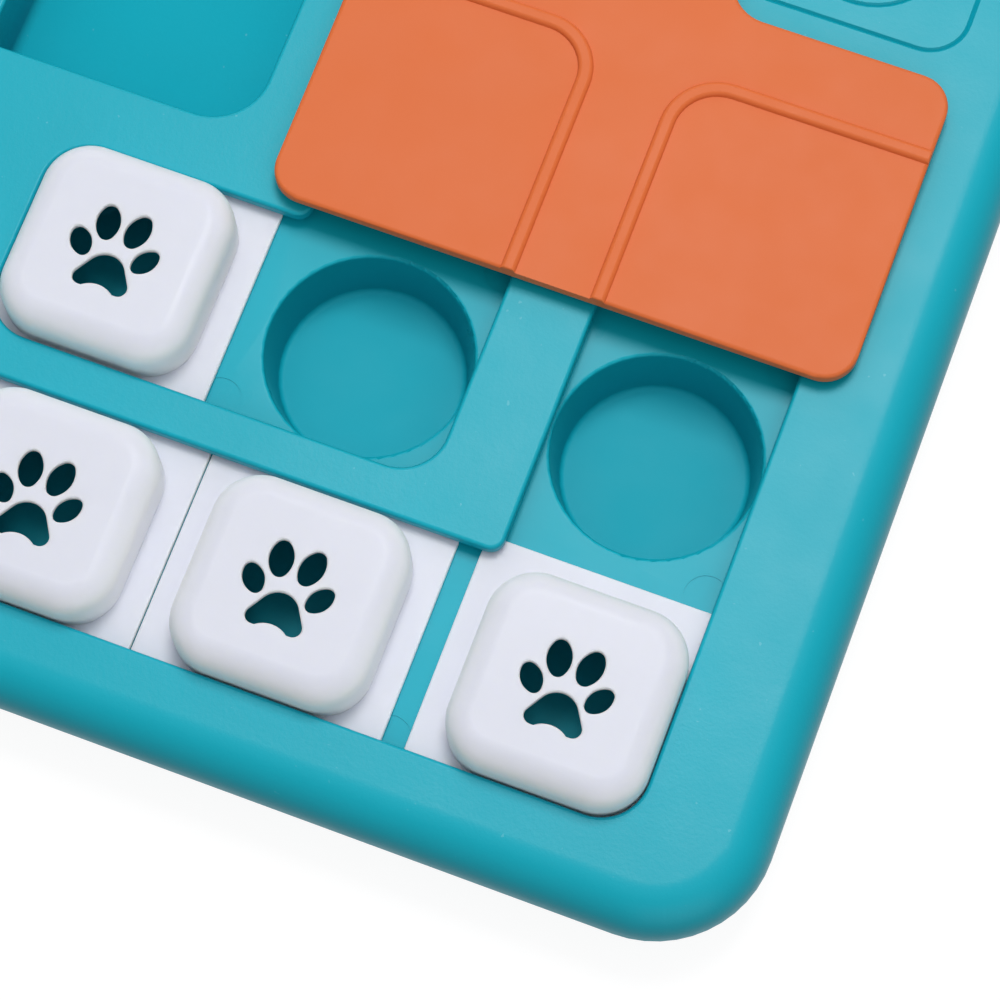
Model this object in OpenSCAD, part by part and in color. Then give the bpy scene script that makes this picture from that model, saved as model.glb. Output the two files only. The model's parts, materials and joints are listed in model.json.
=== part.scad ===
// Dog puzzle feeder board: a square tray of round treat wells, a cover frame whose channels trap
// sixteen sliding tiles with paw-shaped sniff holes, and two swivel covers that turn over the wells.
// X runs to the right, Y to the back, Z up; the origin is under the middle, on the floor.

/* [Board] */
// Width of the board, left to right
board_w = 400; // [392:1:430]
// Depth of the board, front to back
board_d = 400; // [392:1:430]
// Height of the cover frame's top face above the floor
board_h = 24; // [23:0.5:34]
// Corner radius of the board, seen from above
corner_r = 22.5; // [18:0.5:34]
// Radius of the rounded outer edge of the cover frame
edge_r = 9; // [6:0.2:9.4]
// Thickness of the cover frame's top plate
plate_t = 2.2; // [1.6:0.1:2.4]
// Thickness of the cover frame's outer skirt
skirt_t = 2.4; // [1.8:0.1:2.6]
// Straight drop of the skirt below its rounded edge
skirt_drop = 0.1; // [0:0.1:1.2]
// Gap of the seam between the cover frame and the base tray
seam_gap = 0.3; // [0.1:0.1:0.6]
// Wall of the base tray
tray_t = 1.8; // [1.4:0.1:2.4]

/* [Channels] */
// Width of the slot between the lips of a channel
slot_w = 40.4; // [36:0.2:41]
// Slot corner radius at the channels' ends
slot_r = 9; // [4:0.5:9.5]
// Distance from the board's side to the middle of the outer channel
side_to_channel = 45.5; // [44:0.5:50]
// Distance from the board's front to the middle of the outer channel
front_to_channel = 37.4; // [36.5:0.1:40]
// Width of the rail between the side channels
rail_w = 17.2; // [14:0.2:20]
// Width of the rail between the front channels
rail_d = 8.8; // [8.4:0.1:10]
// Distance between cells along the inner front channel
inner_pitch = 50.7; // [50:0.1:51.5]
// Distance between cells along the side channels
side_pitch = 49.8; // [48:0.1:50.5]
// Drop from the frame's top face to the channel floor
floor_drop = 4.55; // [4:0.05:5.5]
// Corner radius of the platform where the inner channel turns
platform_r = 3; // [1:0.5:5]
// Corner radius of the rail where the outer channel turns
rail_r = 2.8; // [0.5:0.1:4]

/* [Wells] */
// Radius of a treat well at its mouth
well_r = 19.9; // [15:0.1:20.2]
// Radius of a treat well at its floor
well_floor_r = 18.3; // [12:0.1:19]
// Depth of a treat well below the channel floor
well_depth = 12.8; // [8:0.2:13]
// Rounding of the well's rim
well_rim_r = 0.8; // [0.3:0.1:1.2]
// Rounding between a well's wall and its floor
well_foot_r = 1.2; // [0.5:0.1:3]

/* [Compartments] */
// Depth of the four compartments below the frame's top face
pan_depth = 17.4; // [10:0.2:18]
// Radius of a compartment's corner that points to the board's corner
pan_r = 11; // [7:0.5:16]
// Radius of a compartment's other three corners
pan_inner_r = 3; // [3:0.5:8]
// Rounding at the foot of a compartment's walls
pan_foot_r = 2; // [1:0.5:3]
// Width of the bridge between two compartments
pan_bridge = 9.6; // [8:0.2:16]
// Platform left between a compartment and the side channel
pan_side = 17.7; // [14:0.2:22]
// Platform left between a compartment and the front channel
pan_front = 13.1; // [11:0.2:18]

/* [Tiles] */
// How far a tile's flange reaches under the side lips
lip_x = 4.5; // [3:0.1:4.8]
// How far a tile's flange reaches under the front and back lips
lip_y = 4.1; // [3:0.1:4.3]
// Thickness of a tile's flange
flange_t = 1.25; // [0.9:0.05:1.5]
// Corner radius of a tile's flange
flange_r = 4; // [1:0.5:8]
// Play between a tile's cap and the slot's edges, each side
cap_play = 0.95; // [0.5:0.05:1.5]
// Play between a tile's flange and the channel's walls, each side
flange_play = 0.2; // [0.15:0.05:0.35]
// Height of a tile's cap above the frame's top face
cap_rise = 8; // [5:0.1:10]
// Corner radius of a tile's cap
cap_r = 9.5; // [7:0.5:12]
// Rounding of a tile's top edge
cap_edge_r = 5; // [3:0.5:6]
// Wall of a tile
tile_t = 1.4; // [1.1:0.1:2.2]
// Size of the paw cut-out, as a share of its drawn size
paw_scale = 1; // [0.8:0.05:1.15]

/* [Swivel covers] */
// Width of a cover's two end pads
cover_w = 116.4; // [100:0.2:117]
// Distance from the pivot to a cover's end
cover_reach = 91.4; // [86:0.1:92]
// Length of an end pad
pad_len = 64.7; // [50:0.1:68]
// Width of the stem between the pads
stem_w = 22; // [18:0.5:30]
// Radius of the hub around the pivot
hub_r = 14; // [12.5:0.5:18]
// Corner radius of the pads
pad_r = 6.5; // [3:0.5:12]
// Fillet where the stem meets a pad
stem_fillet_r = 8; // [3:0.5:12]
// Thickness of a cover
cover_t = 2.6; // [2:0.1:3.5]
// Gap under a cover
cover_gap = 1.8; // [1.3:0.1:3]
// Width of the raised lines on a cover
line_w = 3; // [1.5:0.1:4]
// Height of the raised lines on a cover
line_h = 0.9; // [0.4:0.1:1.5]
// Bend radius of the raised lines
line_r = 10; // [6:0.5:14]

/* [Pivots, screws and feet] */
// Radius of the pivot post
pivot_r = 4.5; // [3.5:0.1:5]
// Running clearance around the pivot post
pivot_play = 0.06; // [0.04:0.01:0.1]
// Radius of the pivot post's head
pivot_head_r = 8.5; // [7:0.5:11]
// Height of the pivot post's head
pivot_head_h = 2.4; // [1.5:0.1:3.5]
// Thickness of the washer under a cover
washer_t = 0.5; // [0.3:0.1:0.8]
// Radius of a screw's shank
screw_r = 1.4; // [1.1:0.1:1.6]
// Radius of a screw's head
screw_head_r = 2.8; // [2.2:0.1:3]
// Height of a screw's head
screw_head_h = 1.8; // [1.2:0.1:2.2]
// Radius of a rubber foot
foot_r = 7; // [5:0.5:7.5]
// How far a rubber foot stands below the base tray
foot_drop = 1.6; // [1:0.1:2.5]

/* [Engraved panel] */
// Width of the engraved panel
panel_w = 46.2; // [36:0.2:48]
// Depth of the engraved panel, front to back
panel_d = 40; // [34:0.5:60]
// Corner radius of the engraved panel
panel_r = 8; // [3:0.5:12]
// Radius of the ring in the panel
ring_r = 15; // [8:0.5:16]
// Width of the engraved line
groove_w = 1; // [0.6:0.1:1.6]
// Depth of the engraved line
groove_t = 0.5; // [0.2:0.1:0.8]

/* [Hidden] */
$fn = 64;

teal = "#2CB0C6";
teal_dark = "#1F9DB3";
white = "#ECEEF4";
orange = "#E58058";
steel = "#B9BCC0";
rubber = "#30343A";

// Levels
plate_z = board_h - plate_t;
floor_z = board_h - floor_drop;
floor_low_z = floor_z - tray_t;
well_floor_z = floor_z - well_depth;
pan_floor_z = board_h - pan_depth;
skirt_z = board_h - edge_r - skirt_drop;
cover_z = board_h + cover_gap;

// Channel centres, measured from the middle of the board
col_outer = board_w / 2 - side_to_channel;
col_inner = col_outer - slot_w - rail_w;
col_far = col_inner - inner_pitch;
row_outer = board_d / 2 - front_to_channel;
row_inner = row_outer - slot_w - rail_d;
row_end = row_inner - side_pitch;
front_pitch = col_outer / 3;
rail_x = col_outer - (slot_w + rail_w) / 2;

// The outer channel's pockets lie a little further out than its slots
col_pocket = col_outer + 0.8;
row_pocket = row_outer + 0.6;

// Tile sizes that follow from the slot
flange_x = slot_w + 2 * lip_x;
flange_y = slot_w + 2 * lip_y;
cap_w = slot_w - 2 * cap_play;
pocket_x = flange_x + 2 * flange_play;
pocket_y = flange_y + 2 * flange_play;

// Where the tiles rest: each kind's place in the front right quarter, as distances from the middle
seam_between_tiles = 0.3;
inner_rest = [col_far + 0.3, row_inner];
corner_rest = [col_pocket, row_pocket];
side_rest = [min(2 * front_pitch - 1.65, corner_rest.x - flange_x - seam_between_tiles), row_pocket];
middle_rest = [side_rest.x - flange_x - seam_between_tiles, row_pocket];

// Compartments
pan_x0 = pan_bridge / 2;
pan_x1 = col_inner - slot_w / 2 - pan_side;
pan_y1 = row_inner - slot_w / 2 - pan_front;
pan_size = [pan_x1 - pan_x0, pan_y1 - pan_x0];
pan_mid = [(pan_x0 + pan_x1) / 2, (pan_x0 + pan_y1) / 2];
pan_wall = 2;

// Where the covers' raised lines run across: on the side of the board's edge, and of its middle
line_out_y = row_end - slot_w / 2 - 0.8;
line_in_y = line_out_y - 2;

// Where the wells are in one quarter; the front and back middle wells are added apart
quarter_wells = [
    [front_pitch, row_outer], [2 * front_pitch, row_outer], [col_outer, row_outer],
    [col_outer, row_inner], [col_outer, row_end],
    [col_inner, row_inner], [col_inner, row_end], [col_far, row_inner]
];
panel_out = 33;
mark_r = 4.3;
mark_t = 0.12;
mark_in = 18.5;
quarter_marks = [
    [col_outer + mark_in - 0.5, (row_outer + row_inner) / 2 - 1.9],
    [col_outer + mark_in - 0.5, (row_inner + row_end) / 2],
    [col_inner + mark_in, (row_inner + row_end) / 2],
    [(col_far + col_inner) / 2 + 1.9, row_inner + mark_in - 0.7],
    [2.5 * front_pitch - 1.8, row_outer + mark_in], [1.5 * front_pitch, row_outer + mark_in],
    [0.5 * front_pitch, row_outer + mark_in]
];

// Screws that join the case, and the feet
post_r = 4.6;
post_z = 6;
boss_r = 3;
boss_play = 0.15;
case_screw_spots = [[board_w / 2 - 10.6, 72], [96, board_d / 2 - 8.4]];
shoulder_z = 9;
shoulder_t = 2;
boss_foot_z = shoulder_z + shoulder_t;
screw_bite = 7;
foot_corner = [board_w / 2 - 17, board_d / 2 - 17];
foot_side = board_w / 2 - 15.5;
foot_middle = pan_y1 + 16;
land_in = 10;
rib_t = 1.6;
rib_z = 9.5;
rib_in = 5.5;
cup_t = 1.6;
cup_floor = well_r + cup_t + 1.5;
cup_bevel = 1.5;
foot_cup = 1.8;
foot_stem_r = 2.4;
foot_stem_h = 3;
foot_top_z = foot_drop + foot_cup;
pivot_boss_r = 8;
pivot_boss_z = 10;
pivot_floor_t = 2;
pivot_seat_r = 11;
pivot_seat_h = cover_gap - washer_t - 0.1;

// A rectangle with round corners, about the middle
module round_rect(size, r) {
    square([size.x - 2 * r, size.y], center = true);
    square([size.x, size.y - 2 * r], center = true);
    for (sx = [-1, 1], sy = [-1, 1])
        translate([sx * (size.x / 2 - r), sy * (size.y / 2 - r)]) circle(r);
}

// The same, given by two opposite corners
module round_box(low, high, r) {
    translate((low + high) / 2) round_rect(high - low, r);
}

// The children, mirrored to the side that sx and sy name
module mirror_to(sx, sy) {
    mirror([sx < 0 ? 1 : 0, 0, 0]) mirror([0, sy < 0 ? 1 : 0, 0]) children();
}

// Upper half of a block's end view: square below, with the top edges rounded
module loaf(width, h, e) {
    intersection() {
        translate([-width / 2, 0]) square([width, h]);
        union() {
            translate([-width / 2, 0]) square([width, h - e]);
            translate([e - width / 2, 0]) square([width - 2 * e, h]);
            for (s = [-1, 1]) translate([s * (width / 2 - e), h - e]) circle(e);
        }
    }
}

// A block with corner radius r seen from above and its top edge rounded by e, standing on z = 0
module soft_block(size, h, r, e) {
    rotate([90, 0, 90])
        translate([0, 0, r - size.x / 2]) linear_extrude(size.x - 2 * r) loaf(size.y, h, e);
    rotate([90, 0, 0])
        translate([0, 0, r - size.y / 2]) linear_extrude(size.y - 2 * r) loaf(size.x, h, e);
    for (sx = [-1, 1], sy = [-1, 1])
        translate([sx * (size.x / 2 - r), sy * (size.y / 2 - r), 0])
            rotate_extrude() intersection() {
                loaf(2 * r, h, e);
                square([r, h]);
            }
}

// A profile carried round a rectangle with corner radius r; x = 0 is the outline, negative x is inside
module around(size, r) {
    straight = size - [2 * r, 2 * r];
    for (s = [0, 1]) rotate(180 * s) {
        translate([-straight.x / 2, size.y / 2, 0])
            rotate([90, 0, 90]) linear_extrude(straight.x) children();
        translate([size.x / 2, straight.y / 2, 0])
            rotate([90, 0, 0]) linear_extrude(straight.y) children();
    }
    for (sx = [-1, 1], sy = [-1, 1]) mirror_to(sx, sy)
        translate([straight.x / 2, straight.y / 2, 0])
            rotate_extrude(angle = 90) translate([r, 0]) children();
}

// What rounding an inside corner adds to a slot, about the middle of the rounding
module corner_add(r) {
    difference() {
        translate([0, -r - 0.5]) square(r + 0.5);
        circle(r);
    }
}

// Outlines of the slots between the lips, seen from above
module outer_slot() {
    for (s = [0, 1]) mirror([s, 0]) {
        round_box([col_outer - slot_w / 2, -row_outer - slot_w / 2],
                  [col_outer + slot_w / 2, -row_end + slot_w / 2], slot_r);
        translate([col_outer - slot_w / 2 - rail_r, -row_outer + slot_w / 2 + rail_r])
            corner_add(rail_r);
    }
    round_box([-col_outer - slot_w / 2, -row_outer - slot_w / 2],
              [col_outer + slot_w / 2, -row_outer + slot_w / 2], slot_r);
}

module inner_slot() {
    round_box([col_far - slot_w / 2, -row_inner - slot_w / 2],
              [col_inner + slot_w / 2, -row_inner + slot_w / 2], slot_r);
    round_box([col_inner - slot_w / 2, -row_inner - slot_w / 2],
              [col_inner + slot_w / 2, -row_end + slot_w / 2], slot_r);
    translate([col_inner - slot_w / 2 - platform_r, -row_inner + slot_w / 2 + platform_r])
        corner_add(platform_r);
}

module slots() {
    for (s = [0, 1]) mirror([0, s]) outer_slot();
    for (sx = [-1, 1], sy = [-1, 1]) mirror_to(sx, sy) inner_slot();
}

// Outlines of the pockets under the lips, in which the flanges slide
module pockets() {
    px = pocket_x / 2;
    py = pocket_y / 2;
    for (sy = [-1, 1]) {
        translate([0, sy * row_pocket])
            round_rect([2 * col_pocket + pocket_x, pocket_y], 1);
        for (sx = [-1, 1]) mirror_to(sx, sy) {
            round_box([col_pocket - px, row_end - py], [col_pocket + px, row_pocket + py], 1);
            round_box([col_far - px, row_inner - py], [col_inner + px, row_inner + py], 1);
            round_box([col_inner - px, row_end - py], [col_inner + px, row_inner + py], 1);
        }
    }
}

// Hollow of one treat well, rim and foot rounded, around its own axis
module well_hollow() {
    rim = [well_r + well_rim_r, well_depth - well_rim_r];
    foot = [well_floor_r - well_foot_r, well_foot_r];
    translate([0, 0, well_floor_z]) rotate_extrude() {
        difference() {
            polygon([[0, 0], [foot.x, 0], [well_floor_r, foot.y], [well_r, rim.y],
                     [rim.x, well_depth], [rim.x, well_depth + 0.5], [0, well_depth + 0.5]]);
            translate(rim) circle(well_rim_r);
        }
        translate(foot) circle(well_foot_r);
    }
}

module at_wells() {
    for (sx = [-1, 1], sy = [-1, 1], w = quarter_wells) translate([sx * w.x, sy * w.y, 0]) children();
    for (sy = [-1, 1]) translate([0, sy * row_outer, 0]) children();
}

module at_pans() {
    for (sx = [-1, 1], sy = [-1, 1]) mirror_to(sx, sy) translate([pan_mid.x, pan_mid.y, 0]) children();
}

module at_case_screws() {
    for (sx = [-1, 1], sy = [-1, 1], p = case_screw_spots)
        translate([sx * p.x, sy * p.y, 0]) children();
    for (sy = [-1, 1]) translate([0, sy * row_inner, 0]) children();
}

module at_feet() {
    for (sx = [-1, 1], sy = [-1, 1])
        translate([sx * foot_corner.x, sy * foot_corner.y, 0]) children();
    for (s = [-1, 1]) {
        translate([s * foot_side, 0, 0]) children();
        translate([0, s * foot_middle, 0]) children();
    }
}

module at_pivots() {
    for (s = [-1, 1]) translate([s * rail_x, 0, 0]) children();
}

// Section of an engraved line
module groove() {
    polygon([[0, -groove_t], [groove_w / 2, 0], [groove_w / 2, 1], [-groove_w / 2, 1], [-groove_w / 2, 0]]);
}

// A block of a compartment's shape, its one wide corner out, grown on every side, with its foot up
module pan_block(h, grow) {
    size = pan_size + 2 * [grow, grow];
    more = 2 * [pan_r + grow, pan_r + grow];
    intersection() {
        soft_block(size, h, pan_inner_r + grow, pan_foot_r + grow);
        translate([-more.x / 2, -more.y / 2, 0])
            soft_block(size + more, h, pan_r + grow, pan_foot_r + grow);
    }
}

// Hollows of the compartments, from above the frame's top face down to their floors
module pan_hollows() {
    at_pans() translate([0, 0, board_h + 1]) mirror([0, 0, 1]) pan_block(pan_depth + 1, 0);
}

// Cover frame: the rounded shell with its slots, lips, screw bosses and pivot seats
module top_frame() {
    inner_e = edge_r - plate_t;
    color(teal) difference() {
        union() {
            difference() {
                translate([0, 0, skirt_z])
                    soft_block([board_w, board_d], board_h - skirt_z, corner_r, edge_r);
                translate([0, 0, skirt_z - 1])
                    soft_block([board_w - 2 * skirt_t, board_d - 2 * skirt_t], plate_z - skirt_z + 1,
                               corner_r - skirt_t, inner_e);
            }
            at_case_screws() translate([0, 0, boss_foot_z])
                cylinder(r = boss_r, h = plate_z - boss_foot_z + 1);
            at_pivots() {
                translate([0, 0, pivot_boss_z]) cylinder(r = pivot_boss_r, h = board_h - pivot_boss_z);
                translate([0, 0, board_h - 1]) cylinder(r = pivot_seat_r, h = pivot_seat_h + 1);
            }
        }
        translate([0, 0, plate_z - 1]) linear_extrude(plate_t + 2) slots();
        pan_hollows();
        at_case_screws() translate([0, 0, boss_foot_z - 1])
            cylinder(r = screw_r + 0.05, h = screw_bite + 2);
        at_pivots() {
            translate([0, 0, pivot_boss_z + pivot_floor_t])
                cylinder(r = pivot_r + pivot_play, h = board_h);
            translate([0, 0, pivot_boss_z - 1]) cylinder(r = screw_r + 0.1, h = pivot_floor_t + 2);
        }
        for (s = [-1, 1]) translate([s * (rail_x + panel_out), 0, board_h]) {
            around([panel_w, panel_d], panel_r) groove();
            rotate_extrude() translate([ring_r, 0]) groove();
        }
    }
}

// The compartments' walls and floors, which hang from the underside of the frame's plate
module compartment_pans() {
    color(teal) difference() {
        at_pans() translate([0, 0, plate_z]) mirror([0, 0, 1])
            pan_block(pan_depth + pan_wall - plate_t, pan_wall);
        pan_hollows();
    }
}

// Section of the base tray's rim: a shoulder inside the frame's skirt, a ledge under it, a tapered wall
module tray_rim() {
    riser = -skirt_t - 0.6;
    ledge_z = skirt_z - seam_gap;
    ledge_out = -0.6;
    foot_out = -5.2;
    shoulder = [riser - 0.2, max(ledge_z + 0.4, floor_low_z - 0.6)];
    polygon([
        [-land_in - 2, floor_z], [riser - 2, floor_z], shoulder, [riser, ledge_z], [ledge_out, ledge_z],
        [foot_out, foot_drop], [foot_out - tray_t, foot_drop], [ledge_out - tray_t - 0.5, ledge_z - tray_t],
        [riser - tray_t, ledge_z - tray_t], [riser - tray_t - 0.2, floor_low_z - 0.8],
        [riser - tray_t - 1, floor_low_z], [-land_in - 2, floor_low_z]
    ]);
}

// Shallow round marks in the channel floor, between the wells
module mark_recesses() {
    for (sx = [-1, 1], sy = [-1, 1], m = quarter_marks)
        translate([sx * m.x, sy * m.y, floor_z - mark_t]) cylinder(r = mark_r, h = 1);
}

// The squares of channel floor around the wells' mouths
module cup_floors() {
    at_wells() translate([0, 0, floor_low_z]) linear_extrude(tray_t) square(2 * cup_floor, center = true);
}

// Base tray: channel floor, lands that carry the frame, ribs, screw posts and foot cups
module base_tray() {
    window = 2 * [pan_x1 + pan_wall + 0.8, pan_y1 + pan_wall + 0.8];
    window_r = pan_r + pan_wall + 0.8;
    color(teal_dark) difference() {
        union() {
            translate([0, 0, floor_low_z]) linear_extrude(plate_z - floor_low_z)
                round_rect([board_w - 2 * land_in, board_d - 2 * land_in], corner_r - land_in);
            around([board_w, board_d], corner_r) tray_rim();
            at_case_screws() translate([0, 0, post_z]) cylinder(r = post_r, h = floor_low_z + 1 - post_z);
            at_feet() translate([0, 0, foot_drop])
                cylinder(r = foot_r + 1.6, h = floor_low_z + 1 - foot_drop);
            for (s = [-1, 1]) {
                translate([s * rail_x - rib_t / 2, -(row_outer + row_inner) / 2, rib_z])
                    cube([rib_t, row_outer + row_inner, floor_low_z + 1 - rib_z]);
                for (y = [row_outer + row_inner, row_inner + row_end])
                    translate([rib_in - board_w / 2, (s * y - rib_t) / 2, rib_z])
                        cube([board_w - 2 * rib_in, rib_t, floor_low_z + 1 - rib_z]);
            }
            translate([0, 0, rib_z]) linear_extrude(floor_low_z + 1 - rib_z)
                round_rect(window + [2 * rib_t, 2 * rib_t], window_r + rib_t);
        }
        translate([0, 0, floor_z]) linear_extrude(plate_z - floor_z + 1) pockets();
        cup_floors();
        mark_recesses();
        translate([0, 0, 1]) linear_extrude(board_h) round_rect(window, window_r);
        at_case_screws() {
            translate([0, 0, boss_foot_z]) cylinder(r = boss_r + boss_play, h = board_h);
            translate([0, 0, post_z - 1]) cylinder(r = screw_head_r + 0.3, h = shoulder_z - post_z + 1);
            translate([0, 0, post_z]) cylinder(r = screw_r + 0.2, h = board_h);
        }
        at_pivots() translate([0, 0, 1]) cylinder(r = pivot_boss_r + 0.4, h = board_h);
        at_feet() {
            translate([0, 0, foot_drop - 1]) cylinder(r = foot_r + 0.1, h = foot_cup + 1);
            translate([0, 0, foot_top_z - 1]) cylinder(r = foot_stem_r + 0.05, h = foot_stem_h + 1.3);
        }
    }
}

// The treat wells' cups, each hung from its square of the channel floor
module treat_cups() {
    low_z = well_floor_z - cup_t;
    foot_out_r = well_floor_r + cup_t;
    color(teal_dark) difference() {
        union() {
            cup_floors();
            at_wells() rotate_extrude() polygon([
                [0, low_z], [foot_out_r - cup_bevel, low_z], [foot_out_r, low_z + cup_bevel],
                [well_r + cup_t, floor_low_z], [well_r + cup_t, floor_low_z + 0.5], [0, floor_low_z + 0.5]
            ]);
        }
        at_wells() well_hollow();
        mark_recesses();
    }
}

// An oval of four arcs: half length a, half width b, end radius e
module oval(a, b, e) {
    side_r = ((a - e) * (a - e) + b * b - e * e) / (2 * (b - e));
    join_y = (a - e) * side_r / (side_r - e);
    intersection() {
        translate([side_r - b, 0]) circle(side_r, $fn = 180);
        translate([b - side_r, 0]) circle(side_r, $fn = 180);
        square([2 * b, 2 * join_y], center = true);
    }
    for (s = [-1, 1]) translate([0, s * (a - e)]) circle(e);
}

// Paw outline: four toes and a pad with an arched foot
module paw() {
    toe_out = [6.5, -1];
    toe_in = [3, 4.1];
    top = [0, -5.75];
    top_r = 4;
    heel = [3.78, -7.5];
    heel_r = 1.7;
    arch = [0, -13.1];
    arch_r = 5;
    run = heel - top;
    tilt = atan2(run.y, run.x) + acos((top_r - heel_r) / norm(run));
    out = [cos(tilt), sin(tilt)];
    for (s = [-1, 1]) {
        translate([s * toe_out.x, toe_out.y]) rotate(-s * 35.5) oval(3.05, 2.06, 1.42);
        translate([s * toe_in.x, toe_in.y]) rotate(-s * 12) oval(3.6, 2.36, 1.64);
    }
    difference() {
        union() {
            translate(top) circle(top_r);
            for (s = [0, 1]) mirror([s, 0]) {
                translate(heel) circle(heel_r);
                polygon([top, top + top_r * out, heel + heel_r * out, heel,
                         heel - [0, heel_r], [0, heel.y - heel_r]]);
            }
        }
        translate(arch) circle(arch_r);
    }
}

// A sliding tile: a thin flange held under the lips and a hollow cap that stands up through the slot
module tile_body() {
    cap_h = board_h + cap_rise - floor_z - 0.05;
    translate([0, 0, floor_z + 0.05]) difference() {
        union() {
            linear_extrude(flange_t) round_rect([flange_x, flange_y], flange_r);
            soft_block([cap_w, cap_w], cap_h, cap_r, cap_edge_r);
        }
        translate([0, 0, -1])
            soft_block([cap_w - 2 * tile_t, cap_w - 2 * tile_t], cap_h - tile_t + 1,
                       cap_r - tile_t, cap_edge_r - tile_t);
        translate([0, 0, cap_h - tile_t - 1]) linear_extrude(tile_t + 2)
            scale(paw_scale) paw();
    }
}

module tile(rest, side) {
    color(white) translate([side.x * rest.x, side.y * rest.y, 0]) tile_body();
}

// Outline of a swivel cover, about its pivot
module cover_outline() {
    neck = cover_reach - pad_len;
    for (sy = [-1, 1]) {
        translate([0, sy * (neck + pad_len / 2)]) round_rect([cover_w, pad_len], pad_r);
        for (sx = [-1, 1]) mirror_to(sx, sy)
            translate([stem_w / 2, neck - stem_fillet_r]) difference() {
                translate([-1, 0]) square([stem_fillet_r + 1, stem_fillet_r + 1]);
                translate([stem_fillet_r, 0]) circle(stem_fillet_r);
            }
    }
    square([stem_w, 2 * neck + 2], center = true);
    circle(hub_r);
}

// Section of a raised line, its foot sunk a little into the cover
module line_section() {
    bevel = 0.4;
    polygon([[-line_w / 2, -0.4], [line_w / 2, -0.4], [line_w / 2, 0.1],
             [line_w / 2 - bevel, line_h], [bevel - line_w / 2, line_h], [-line_w / 2, 0.1]]);
}

// One raised line, from a pad's end, round its bend, to the pad's side
module cover_line(turn_y) {
    start_x = rail_w / 2 + 0.35;
    up = cover_reach - turn_y - line_r;
    out = cover_w / 2 - start_x - line_r;
    translate([start_x, cover_reach, 0]) rotate([90, 0, 0]) linear_extrude(up) line_section();
    translate([start_x + line_r, turn_y, 0]) rotate([90, 0, 90]) linear_extrude(out) line_section();
    translate([start_x + line_r, turn_y + line_r, 0]) rotate(180)
        rotate_extrude(angle = 90) translate([line_r, 0]) line_section();
}

// A swivel cover, with raised lines that follow the slots below it
module swivel_cover(side) {
    color(orange) translate([side * rail_x, 0, cover_z]) difference() {
        union() {
            linear_extrude(cover_t) cover_outline();
            translate([0, 0, cover_t]) for (sx = [-1, 1], sy = [-1, 1])
                mirror_to(sx, sy) cover_line(sx == side ? line_out_y : line_in_y);
        }
        translate([0, 0, -1]) cylinder(r = pivot_r + pivot_play, h = cover_t + 2);
    }
}

// Pivot post: a domed head over the cover and a shank that turns in nothing but the cover's bore
module pivot_post(side) {
    head_z = cover_z + cover_t + 0.1;
    foot_z = pivot_boss_z + pivot_floor_t;
    color(orange) translate([side * rail_x, 0, 0]) difference() {
        union() {
            translate([0, 0, foot_z]) cylinder(r = pivot_r, h = head_z - foot_z + 1);
            translate([0, 0, head_z]) rotate_extrude() intersection() {
                loaf(2 * pivot_head_r, pivot_head_h, 1.6);
                square([pivot_head_r, pivot_head_h]);
            }
        }
        translate([0, 0, foot_z - 1]) cylinder(r = screw_r + 0.05, h = screw_bite + 1);
    }
}

// Washers between the cover frame's pivot seats and the covers
module pivot_washers() {
    color(white) at_pivots() translate([0, 0, board_h + pivot_seat_h]) difference() {
        cylinder(r = pivot_seat_r - 1, h = washer_t);
        translate([0, 0, -1]) cylinder(r = pivot_r + 0.15, h = washer_t + 2);
    }
}

// A pan-head screw that points up, its head's seat at z = 0
module screw(length) {
    cylinder(r = screw_r, h = length);
    translate([0, 0, -screw_head_h]) difference() {
        cylinder(r = screw_head_r, h = screw_head_h);
        for (a = [0, 90]) rotate(a) translate([-screw_head_r * 0.6, -0.35, -1])
            cube([screw_head_r * 1.2, 0.7, 1.9]);
    }
}

module pivot_screws() {
    color(steel) at_pivots() translate([0, 0, pivot_boss_z]) screw(pivot_floor_t + screw_bite - 1);
}

module case_screws() {
    color(steel) at_case_screws() translate([0, 0, shoulder_z]) screw(shoulder_t + screw_bite);
}

// Rubber feet, each pressed into its cup by a stem
module rubber_feet() {
    color(rubber) at_feet() {
        translate([0, 0, foot_top_z]) mirror([0, 0, 1]) rotate_extrude() intersection() {
            loaf(2 * foot_r, foot_top_z, 0.8);
            square([foot_r, foot_top_z]);
        }
        translate([0, 0, foot_top_z - 0.5]) cylinder(r = foot_stem_r, h = foot_stem_h + 0.5);
    }
}

top_frame();
compartment_pans();
base_tray();
treat_cups();
tile(inner_rest, [1, -1]);  // tile_inner_fr
tile(middle_rest, [1, -1]);  // tile_middle_fr
tile(side_rest, [1, -1]);  // tile_side_fr
tile(corner_rest, [1, -1]);  // tile_corner_fr
tile(inner_rest, [-1, -1]);  // tile_inner_fl
tile(middle_rest, [-1, -1]);  // tile_middle_fl
tile(side_rest, [-1, -1]);  // tile_side_fl
tile(corner_rest, [-1, -1]);  // tile_corner_fl
tile(inner_rest, [1, 1]);  // tile_inner_br
tile(middle_rest, [1, 1]);  // tile_middle_br
tile(side_rest, [1, 1]);  // tile_side_br
tile(corner_rest, [1, 1]);  // tile_corner_br
tile(inner_rest, [-1, 1]);  // tile_inner_bl
tile(middle_rest, [-1, 1]);  // tile_middle_bl
tile(side_rest, [-1, 1]);  // tile_side_bl
tile(corner_rest, [-1, 1]);  // tile_corner_bl
swivel_cover(1);  // swivel_cover_right
swivel_cover(-1);  // swivel_cover_left
pivot_post(1);  // pivot_post_right
pivot_post(-1);  // pivot_post_left
pivot_washers();
pivot_screws();
case_screws();
rubber_feet();
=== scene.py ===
import json
import math

import bmesh
import bpy
from mathutils import Matrix, Vector


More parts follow.
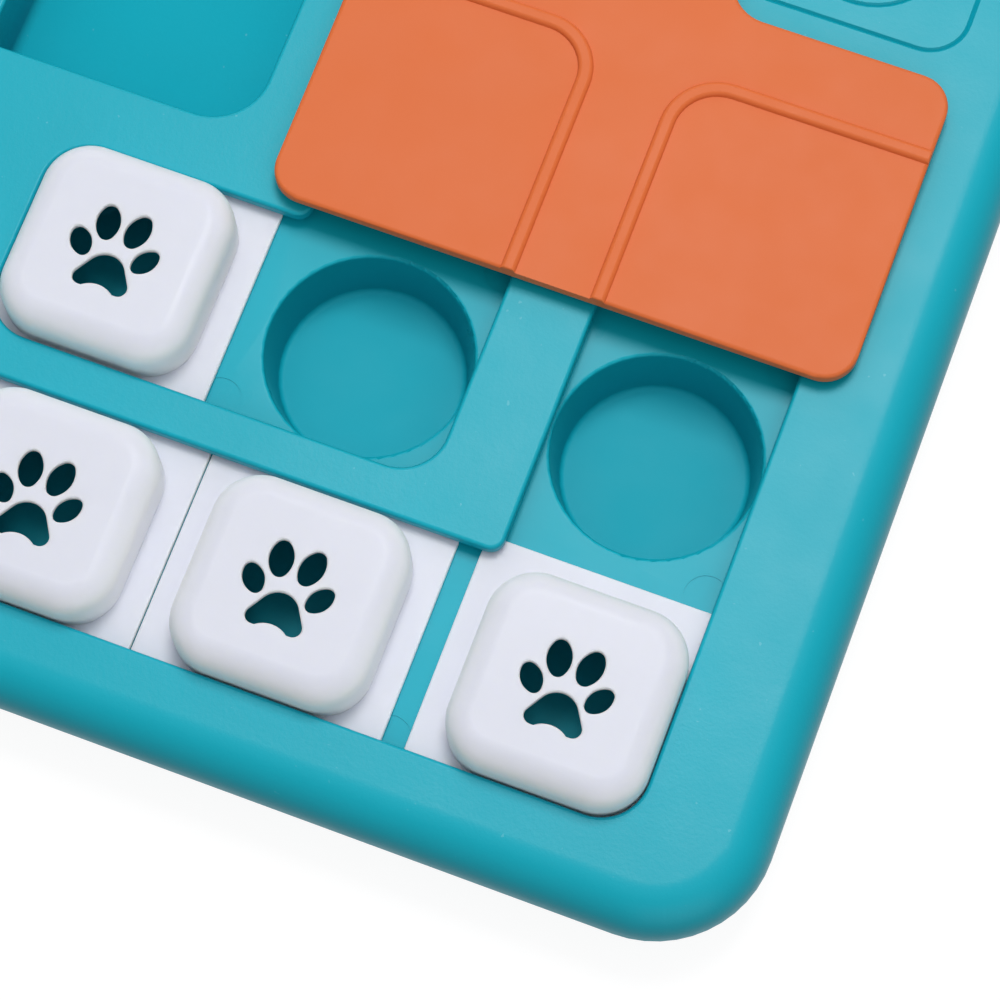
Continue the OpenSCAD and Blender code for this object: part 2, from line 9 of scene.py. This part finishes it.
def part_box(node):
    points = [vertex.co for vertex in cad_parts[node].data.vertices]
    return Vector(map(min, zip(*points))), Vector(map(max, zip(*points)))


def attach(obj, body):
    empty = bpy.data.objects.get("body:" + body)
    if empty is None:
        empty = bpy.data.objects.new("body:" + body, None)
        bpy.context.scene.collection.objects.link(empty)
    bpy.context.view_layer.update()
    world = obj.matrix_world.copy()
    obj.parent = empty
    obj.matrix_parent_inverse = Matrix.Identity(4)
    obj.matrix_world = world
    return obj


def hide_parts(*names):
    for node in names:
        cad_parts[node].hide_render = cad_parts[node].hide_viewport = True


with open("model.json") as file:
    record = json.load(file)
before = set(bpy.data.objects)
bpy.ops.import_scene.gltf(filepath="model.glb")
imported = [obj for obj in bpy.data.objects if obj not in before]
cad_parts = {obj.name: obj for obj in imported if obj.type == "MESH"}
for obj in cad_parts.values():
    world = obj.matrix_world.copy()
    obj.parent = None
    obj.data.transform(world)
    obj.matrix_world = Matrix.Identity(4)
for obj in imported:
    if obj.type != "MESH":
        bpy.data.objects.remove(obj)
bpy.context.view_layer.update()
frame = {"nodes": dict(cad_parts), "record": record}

# Everything is in metres, in the frame of the CAD model: X to the right, Y to the back, Z up.
MM = 0.001
SIDES = ("right", "left")
CORNERS = ("fr", "fl", "br", "bl")
TILE_KINDS = ("inner", "middle", "side", "corner")

# Levels of the board's surfaces
TOP_Z = 24.0 * MM
FLOOR_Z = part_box("treat_cups")[1].z
LINE_H = 0.9 * MM
COVER_TOP_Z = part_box("swivel_cover_right")[1].z - LINE_H
FLANGE_TOP_Z = FLOOR_Z + 1.3 * MM

# The engraved panels beside the pivots, which keep their crisp grooves
PIVOT_X = sum(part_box("pivot_post_right"), Vector()).x / 2
PANEL_MIDDLE = PIVOT_X + 33 * MM
PANEL_HALF = (23.8 * MM, 20.7 * MM)


# ---------------------------------------------------------------- camera

CAMERA_PLACE = Vector((0.2108, -0.3058, TOP_Z + 0.6134))
CAMERA_RIGHT = Vector((0.93567, 0.35214, -0.02278))
CAMERA_UP = Vector((-0.33014, 0.89636, 0.29588))
FOCAL_LENGTH = 125.0
SENSOR = 36.0


def add_camera():
    """The view from above the board's front right corner, through a long lens."""
    right = CAMERA_RIGHT.normalized()
    back = right.cross(CAMERA_UP).normalized()
    turn = Matrix((right, back.cross(right), back)).transposed().to_4x4()
    data = bpy.data.cameras.new("camera")
    data.lens = FOCAL_LENGTH
    data.sensor_width = SENSOR
    data.clip_end = 50.0
    camera = bpy.data.objects.new("camera", data)
    camera.matrix_world = Matrix.Translation(CAMERA_PLACE) @ turn
    bpy.context.scene.collection.objects.link(camera)
    bpy.context.scene.camera = camera


# ---------------------------------------------------------------- materials

def srgb(red, green, blue):
    """An sRGB colour, 0 to 255, as the linear RGBA that shaders take."""
    def channel(value):
        value /= 255.0
        return value / 12.92 if value <= 0.04045 else ((value + 0.055) / 1.055) ** 2.4
    return (channel(red), channel(green), channel(blue), 1.0)


def shade(colour, factor):
    """The colour, made lighter or darker by a factor."""
    return (*(min(value * factor, 1.0) for value in colour[:3]), 1.0)


class Shader:
    """A node material under construction: a Principled surface fed by noises in the object's own space."""

    def __init__(self, name):
        self.name = name
        self.material = bpy.data.materials.new(name)
        self.material.use_nodes = True
        self.tree = self.material.node_tree
        self.surface = self.tree.nodes["Principled BSDF"]
        place = self.add("ShaderNodeTexCoord")
        self.space = place.outputs["Object"]
        self.normal = place.outputs["Normal"]
        self.relief = None

    def add(self, kind, **settings):
        node = self.tree.nodes.new(kind)
        for key, value in settings.items():
            setattr(node, key, value)
        return node

    def link(self, source, target):
        self.tree.links.new(source, target)

    def by_level(self, low_z, high_z, low, high):
        """A value that goes from low at one level of the part to high at another."""
        split = self.add("ShaderNodeSeparateXYZ")
        self.link(self.space, split.inputs["Vector"])
        return self.spread(split.outputs["Z"], low, high, low_z, high_z)

    def flatness(self, steep, flat):
        """0 on steep faces, 1 on level faces; steep and flat are the normal's Z at which it starts and ends.
        It masks the painted wall shading.
        """
        split = self.add("ShaderNodeSeparateXYZ")
        self.link(self.normal, split.inputs["Vector"])
        upright = self.add("ShaderNodeMath", operation="ABSOLUTE")
        self.link(split.outputs["Z"], upright.inputs[0])
        return self.spread(upright.outputs[0], 0.0, 1.0, steep, flat)

    def noise(self, scale, detail=2.0, rough=0.5, stretch=None):
        """A noise with about scale grains to a metre, or drawn out along the axes by stretch."""
        node = self.add("ShaderNodeTexNoise")
        node.inputs["Scale"].default_value = scale
        node.inputs["Detail"].default_value = detail
        node.inputs["Roughness"].default_value = rough
        space = self.space
        if stretch:
            squeeze = self.add("ShaderNodeMapping")
            squeeze.inputs["Scale"].default_value = stretch
            self.link(space, squeeze.inputs["Vector"])
            space = squeeze.outputs["Vector"]
        self.link(space, node.inputs["Vector"])
        return node.outputs["Fac"]

    def spread(self, source, low, high, start=0.3, end=0.7):
        """The source, start to end, mapped to low to high."""
        node = self.add("ShaderNodeMapRange")
        node.inputs["From Min"].default_value = start
        node.inputs["From Max"].default_value = end
        node.inputs["To Min"].default_value = low
        node.inputs["To Max"].default_value = high
        self.link(source, node.inputs["Value"])
        return node.outputs["Result"]

    def blend(self, factor, first, second):
        """The first colour where factor is 0, the second where it is 1."""
        mix = self.add("ShaderNodeMix", data_type="RGBA")
        for end, name in ((first, "A"), (second, "B")):
            if isinstance(end, tuple):
                mix.inputs[name].default_value = end
            else:
                self.link(end, mix.inputs[name])
        self.link(factor, mix.inputs["Factor"])
        return mix.outputs["Result"]

    def colour(self, source):
        self.link(source, self.surface.inputs["Base Color"])

    def roughness(self, source, low, high):
        self.link(self.spread(source, low, high), self.surface.inputs["Roughness"])

    def duller_below(self, low_z, high_z, extra):
        """Makes the surface rougher by extra below low_z, and not at all above high_z."""
        rough = self.surface.inputs["Roughness"]
        total = self.add("ShaderNodeMath", operation="ADD")
        self.link(rough.links[0].from_socket, total.inputs[0])
        self.link(self.by_level(low_z, high_z, extra, 0.0), total.inputs[1])
        self.link(total.outputs[0], rough)

    def bump(self, source, depth):
        """Adds relief of that depth, in metres, to what is there already."""
        node = self.add("ShaderNodeBump")
        node.inputs["Distance"].default_value = depth
        node.inputs["Strength"].default_value = 1.0
        self.link(source, node.inputs["Height"])
        if self.relief is not None:
            self.link(self.relief, node.inputs["Normal"])
        self.relief = node.outputs["Normal"]
        self.link(self.relief, self.surface.inputs["Normal"])

    def set(self, **values):
        for name, value in values.items():
            self.surface.inputs[name.replace("_", " ")].default_value = value


# Grains to a metre of the plastics' noises, from the slow drift of colour to the spark-eroded grain
DRIFT_SCALE = 22.0
GLOSS_SCALE = 90.0
COARSE_SCALE = 420.0
SPECK_SCALE = 650.0
FINE_SCALE = 1500.0

# The normal's Z between which a face counts as a wall and as level, for the painted shade and painted light
# on walls
PAINTED_SHADING_WALL_TO_LEVEL = (0.3, 0.99)


def moulded_plastic(name, base, gloss, grain, drift=0.03, speck=None, painted_wall_shading=None):
    """Moulded plastic: a slight drift of colour, a roughness from gloss[0] to gloss[1], a spark-eroded
    grain of that depth, now and then a speck of pigment, and steep walls painted another colour, as painted
    shade (darker) or painted light (paler)."""
    shader = Shader(name)
    drifting = shader.spread(shader.noise(DRIFT_SCALE, 3.0), 0.0, 1.0)
    tone = shader.blend(drifting, shade(base, 1.0 - drift), shade(base, 1.0 + drift))
    if speck:
        dots = shader.spread(shader.noise(SPECK_SCALE, 1.0), 0.0, 0.35, 0.775, 0.82)
        tone = shader.blend(dots, tone, speck)
    # Steep walls take the given colour: painted shade on the teal parts, painted light on the tiles.
    if painted_wall_shading:
        tone = shader.blend(shader.flatness(*PAINTED_SHADING_WALL_TO_LEVEL), painted_wall_shading, tone)
    shader.colour(tone)
    shader.roughness(shader.noise(GLOSS_SCALE, 3.0), *gloss)
    shader.bump(shader.noise(FINE_SCALE, 2.0, 0.6), grain)
    shader.bump(shader.noise(COARSE_SCALE, 3.0, 0.55), grain * 1.2)
    return shader


TEAL = (0.003, 0.385, 0.49, 1.0)
TILE_WHITE = (0.72, 0.735, 0.83, 1.0)
# The tiles' steep sides are painted this paler white, as painted light.
TILE_PAINTED_SIDE_LIGHT = (0.93, 0.95, 1.0, 1.0)
ORANGE = (0.69, 0.153, 0.042, 1.0)

# The wells' and compartments' floors are duller than what lies above them
FLOORS_Z = (8 * MM, 16 * MM)


def frame_plastic():
    """The cover frame's teal: an even matt grain with rare pale specks, and its steep walls painted darker as
    painted shade.
    """
    # The darker teal on steep walls is painted shade.
    shader = moulded_plastic(
        "teal_plastic", TEAL, (0.32, 0.37), 2.2e-5, 0.025, speck=srgb(120, 200, 212), painted_wall_shading=shade(TEAL, 0.78)
    )
    shader.duller_below(*FLOORS_Z, 0.5)
    shader.set(Specular_IOR_Level=0.19)
    return shader


def tray_plastic():
    """The base tray's teal: smoother, with faint machining lines from the mould's floor, and its steep walls
    painted darker as painted shade.
    """
    # The darker teal on steep walls is painted shade.
    shader = moulded_plastic("tray_plastic", TEAL, (0.27, 0.32), 4e-6, 0.025, painted_wall_shading=shade(TEAL, 0.72))
    shader.bump(shader.noise(1.0, 3.0, 0.6, stretch=(60.0, 1700.0, 60.0)), 5e-6)
    shader.duller_below(*FLOORS_Z, 0.18)
    shader.set(Specular_IOR_Level=0.12)
    return shader


def tile_plastic():
    """The tiles' white: a little light passes through it, and its steep sides are painted paler as painted
    light.
    """
    shader = moulded_plastic("tile_white", TILE_WHITE, (0.36, 0.42), 5e-6, 0.01, painted_wall_shading=TILE_PAINTED_SIDE_LIGHT)
    shader.set(Specular_IOR_Level=0.3, Subsurface_Weight=1.0, Subsurface_Scale=2.0 * MM)
    shader.surface.inputs["Subsurface Radius"].default_value = (1.0, 1.0, 1.1)
    return shader


def cover_plastic():
    """The covers' orange: a fine even grain."""
    shader = moulded_plastic("cover_orange", ORANGE, (0.40, 0.47), 1.1e-5, 0.02)
    shader.set(Specular_IOR_Level=0.15)
    return shader


def screw_steel():
    """Plated steel with fine turning marks."""
    shader = Shader("screw_steel")
    mottle = shader.spread(shader.noise(260.0, 4.0), 0.0, 1.0)
    shader.colour(shader.blend(mottle, srgb(170, 172, 176), srgb(196, 198, 200)))
    shader.roughness(shader.noise(900.0, 3.0), 0.25, 0.4)
    shader.bump(shader.noise(1800.0, 3.0), 6e-6)
    shader.set(Metallic=1.0)
    return shader


def make_materials():
    """The materials, by the name of the record's slot that each one dresses."""
    nylon = moulded_plastic("washer_nylon", srgb(219, 217, 207), (0.40, 0.50), 4e-6)
    rubber = moulded_plastic("foot_rubber", srgb(42, 44, 47), (0.66, 0.78), 2e-5, 0.1)
    shaders = (frame_plastic(), tray_plastic(), tile_plastic(), cover_plastic(), nylon, rubber, screw_steel())
    return {shader.name: shader.material for shader in shaders}


# ---------------------------------------------------------------- meshes

SMOOTH_ANGLE = math.radians(30.0)
FLAT_ANGLE = math.radians(0.1)
SAME_POINT = 0.002 * MM


def mesh_object(name, bm, material):
    """A new object from a bmesh, smooth wherever its faces meet at less than the smooth angle."""
    bm.normal_update()
    for face in bm.faces:
        face.smooth = True
    for edge in bm.edges:
        edge.smooth = edge.calc_face_angle(0.0) < SMOOTH_ANGLE
    data = bpy.data.meshes.new(name)
    bm.to_mesh(data)
    bm.free()
    data.materials.append(material)
    obj = bpy.data.objects.new(name, data)
    bpy.context.scene.collection.objects.link(obj)
    return obj


def joined_copy(node):
    """A bmesh of a CAD node with its split corners joined."""
    bm = bmesh.new()
    bm.from_mesh(frame["nodes"][node].data)
    bmesh.ops.remove_doubles(bm, verts=bm.verts, dist=SAME_POINT)
    return bm


def join_flat_faces(bm):
    """Makes every flat face whole, so that its edges can be rounded evenly."""
    bmesh.ops.dissolve_limit(bm, angle_limit=FLAT_ANGLE, verts=bm.verts, edges=bm.edges)


def soften(bm, wanted, width, segments):
    """Rounds the sharp outer edges for whose middle wanted holds."""
    edges = []
    for edge in bm.edges:
        sharp = len(edge.link_faces) == 2 and edge.calc_face_angle(0.0) > SMOOTH_ANGLE
        if sharp and edge.is_convex and wanted((edge.verts[0].co + edge.verts[1].co) / 2):
            edges.append(edge)
    bmesh.ops.bevel(
        bm, geom=edges, offset=width, offset_type="OFFSET", segments=segments,
        profile=0.5, affect="EDGES", clamp_overlap=False, miter_outer="ARC",
    )


def flatten_shading(piece):
    """Shades by the larger faces, so that flat faces look flat up to their rounded edges."""
    modifier = piece.modifiers.new("flat faces", "WEIGHTED_NORMAL")
    modifier.mode = "FACE_AREA"
    modifier.weight = 50
    modifier.keep_sharp = True


def dress(node, body, piece_name, edges=()):
    """A piece that stands for a CAD node, its edges softened by (test, width, segments)."""
    bm = joined_copy(node)
    if edges:
        join_flat_faces(bm)
    for rule in edges:
        soften(bm, *rule)
    piece = mesh_object(piece_name, bm, MATERIALS[SLOTS[node]])
    flatten_shading(piece)
    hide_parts(node)
    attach(piece, body)
    return piece


# Tests of where an edge is, by its middle

LEVEL_SLACK = 0.03 * MM


def at_level(level):
    return lambda middle: abs(middle.z - level) < LEVEL_SLACK


def above(level):
    return lambda middle: middle.z > level


def below(level):
    return lambda middle: middle.z < level


def on_frame_top(middle):
    """The edges of the slots and compartments, not the grooves of the engraved panels."""
    beside = abs(abs(middle.x) - PANEL_MIDDLE) < PANEL_HALF[0] and abs(middle.y) < PANEL_HALF[1]
    return abs(middle.z - TOP_Z) < LEVEL_SLACK and not beside


# ---------------------------------------------------------------- the board

def dress_board():
    """The frame and tray, and what is fixed to them."""
    dress("top_frame", "board", "frame_shell", [(on_frame_top, 0.8 * MM, 4)])
    dress("compartment_pans", "board", "compartment_walls")
    dress("base_tray", "board", "tray_shell", [(below(4 * MM), 0.3 * MM, 2)])
    dress("treat_cups", "board", "well_cups")
    dress("rubber_feet", "board", "foot_pads")
    dress("case_screws", "board", "case_screw_set", [(below(9 * MM), 0.2 * MM, 2)])
    dress("pivot_screws", "board", "pivot_screw_set", [(below(10 * MM), 0.2 * MM, 2)])
    dress("pivot_washers", "board", "washer_pair", [(above(0), 0.1 * MM, 2)])


def dress_cover(side):
    """A swivel cover and the post that it turns on."""
    edges = [
        (at_level(COVER_TOP_Z), 0.8 * MM, 4),
        (above(COVER_TOP_Z + 0.6 * MM), 0.5 * MM, 4),
        (below(COVER_TOP_Z - 1.5 * MM), 0.3 * MM, 2),
    ]
    dress(f"swivel_cover_{side}", f"swivel_{side}", f"cover_{side}", edges)
    dress(f"pivot_post_{side}", "board", f"post_{side}")


def dress_tile(kind, corner):
    """A sliding tile: crisp holes in its cap and a thin rounded flange."""
    edges = [(above(TOP_Z), 0.3 * MM, 3), (below(FLANGE_TOP_Z + 0.1 * MM), 0.3 * MM, 3)]
    dress(f"tile_{kind}_{corner}", f"{kind}_tile_{corner}", f"paw_tile_{kind}_{corner}", edges)


# ---------------------------------------------------------------- stage and light

FLOOR_SIZE = 6.0
FLOOR_GREY = 0.16
FLOOR_GLOW = 0.9
SKY = (0.30, 0.303, 0.31, 1.0)

# Each lamp's name, place, the point that it faces, the side of its square and its power in watts
LAMPS = (
    ("key", Vector((0.09, 0.48, 1.6)), Vector((0.1, -0.05, 0.0)), 0.6, 13.6),
    ("scrim", Vector((0.25, 0.1, 1.6)), Vector((0.25, 0.1, 0.0)), 2.2, 8.0),
    ("rim", Vector((-0.7, 1.2, 0.9)), Vector((0.0, 0.0, TOP_Z)), 0.8, 2.5),
    ("fill", Vector((0.75, -0.95, 0.45)), Vector((0.0, 0.0, TOP_Z)), 0.9, 2.2),
)


def seen_directly(tree):
    """1 for the rays that show a background: camera, glossy and transmission rays; 0 for the rest."""
    path = tree.nodes.new("ShaderNodeLightPath")
    seen = path.outputs["Is Camera Ray"]
    for ray in ("Is Glossy Ray", "Is Transmission Ray"):
        either = tree.nodes.new("ShaderNodeMath")
        either.operation = "MAXIMUM"
        tree.links.new(seen, either.inputs[0])
        tree.links.new(path.outputs[ray], either.inputs[1])
        seen = either.outputs[0]
    return seen


def add_floor():
    """A plain white floor, which glows where it is seen and still takes the object's shadow."""
    bm = bmesh.new()
    bmesh.ops.create_grid(bm, x_segments=4, y_segments=4, size=FLOOR_SIZE / 2)
    material = bpy.data.materials.new("floor_pale")
    material.use_nodes = True
    tree = material.node_tree
    tree.nodes.clear()
    diffuse = tree.nodes.new("ShaderNodeBsdfDiffuse")
    diffuse.inputs["Color"].default_value = (FLOOR_GREY, FLOOR_GREY, FLOOR_GREY, 1.0)
    glow = tree.nodes.new("ShaderNodeEmission")
    strength = tree.nodes.new("ShaderNodeMath")
    strength.operation = "MULTIPLY"
    strength.inputs[1].default_value = FLOOR_GLOW
    tree.links.new(seen_directly(tree), strength.inputs[0])
    tree.links.new(strength.outputs[0], glow.inputs["Strength"])
    both = tree.nodes.new("ShaderNodeAddShader")
    tree.links.new(diffuse.outputs[0], both.inputs[0])
    tree.links.new(glow.outputs[0], both.inputs[1])
    output = tree.nodes.new("ShaderNodeOutputMaterial")
    tree.links.new(both.outputs[0], output.inputs["Surface"])
    mesh_object("floor", bm, material)


def add_sky():
    """An even soft light from all around, seen as white."""
    world = bpy.data.worlds.new("studio")
    world.use_nodes = True
    tree = world.node_tree
    ambient = tree.nodes["Background"]
    ambient.inputs["Color"].default_value = SKY
    white = tree.nodes.new("ShaderNodeBackground")
    white.inputs["Color"].default_value = (1.0, 1.0, 1.0, 1.0)
    mix = tree.nodes.new("ShaderNodeMixShader")
    tree.links.new(seen_directly(tree), mix.inputs[0])
    tree.links.new(ambient.outputs[0], mix.inputs[1])
    tree.links.new(white.outputs[0], mix.inputs[2])
    tree.links.new(mix.outputs[0], tree.nodes["World Output"].inputs["Surface"])
    bpy.context.scene.world = world


def add_lamp(name, place, target, size, power):
    """A square soft box at place that faces target."""
    data = bpy.data.lights.new(name, "AREA")
    data.shape = "SQUARE"
    data.size = size
    data.energy = power
    lamp = bpy.data.objects.new(name, data)
    aim = (target - place).to_track_quat("-Z", "Y")
    lamp.matrix_world = Matrix.Translation(place) @ aim.to_matrix().to_4x4()
    bpy.context.scene.collection.objects.link(lamp)


# ---------------------------------------------------------------- the scene

bpy.context.scene.view_settings.view_transform = "Standard"
SLOTS = {part["node"]: part["material_slot"] for part in frame["record"]["subparts"]}
MATERIALS = make_materials()
add_camera()
add_sky()
add_floor()
for lamp in LAMPS:
    add_lamp(*lamp)
dress_board()
for side in SIDES:
    dress_cover(side)
for kind in TILE_KINDS:
    for corner in CORNERS:
        dress_tile(kind, corner)
